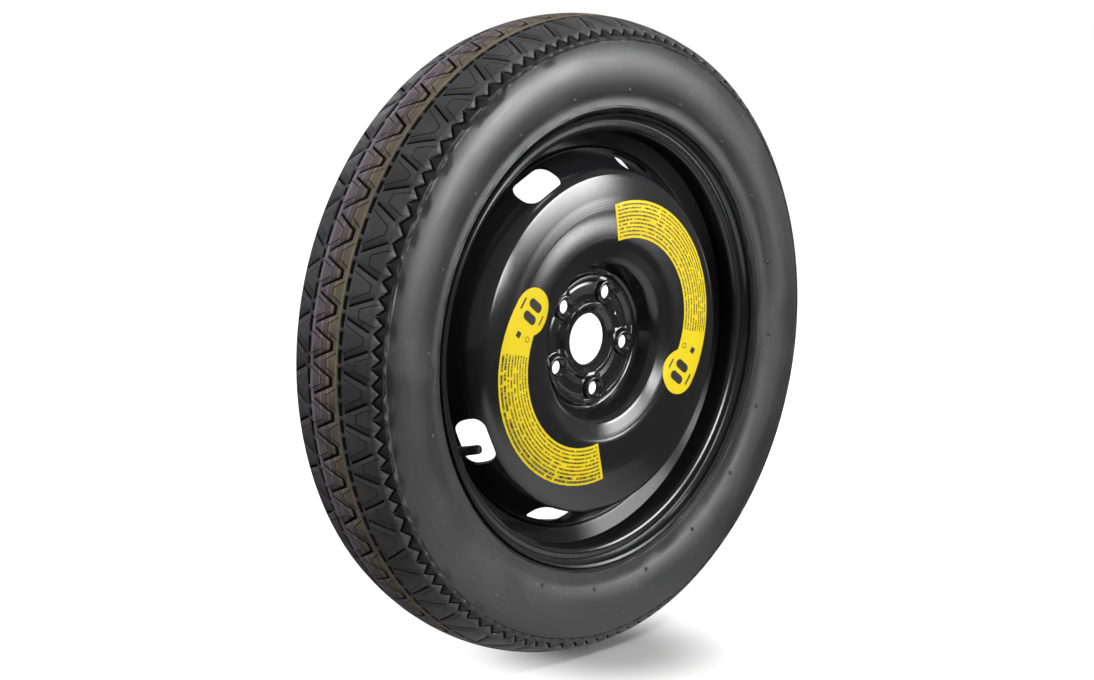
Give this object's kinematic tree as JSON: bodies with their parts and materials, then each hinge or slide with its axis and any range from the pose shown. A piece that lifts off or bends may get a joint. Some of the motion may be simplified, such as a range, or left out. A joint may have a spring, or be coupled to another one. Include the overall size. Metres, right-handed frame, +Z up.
{
  "type": "space saver spare wheel",
  "caption": "Narrow temporary spare wheel: treaded tyre on a black pressed-steel wheel with vents, rubber valve and two yellow arched labels.",
  "frame": {"origin": "centre of the hub bore in the plane of the hub mounting face", "axes": "-Y towards the outer face of the wheel, +Y inboard along the wheel axis, +Z up as the wheel stands"},
  "size_m": [0.7036, 0.145, 0.7036],
  "materials": {
    "tyre": "matt",
    "black_paint": "gloss",
    "weld": "satin",
    "label": "gloss",
    "valve_rubber": "satin",
    "brass": "polished",
    "seal": "matt",
    "spring_steel": "satin",
    "cap_plastic": "satin"
  },
  "bodies": {
    "wheel": {"tyre": "tyre", "rim": "black_paint", "wheel_disc": "black_paint", "weld_seams": "weld", "speed_label_left": "label", "speed_label_right": "label", "valve_body": "valve_rubber", "valve_stem": "brass", "core_plug": "brass", "core_barrel": "brass", "barrel_gasket": "seal", "core_spring": "spring_steel"},
    "pin": {"core_pin": "brass", "cup_seal": "valve_rubber"},
    "cap": {"valve_cap": "cap_plastic", "cap_gasket": "valve_rubber"}
  },
  "joints": [
    {"name": "pin_press", "type": "slide", "parent": "wheel", "child": "pin", "axis": [-0.402, 0.8944, -0.196], "range_m": [0, 0.0015], "stiffness_N_per_m": 250, "springref_m": -0.001, "deforming": ["core_spring"]},
    {"name": "cap_off", "type": "slide", "parent": "wheel", "child": "cap", "axis": [0.402, -0.8944, 0.196], "range_m": [0, 0.014]}
  ]
}
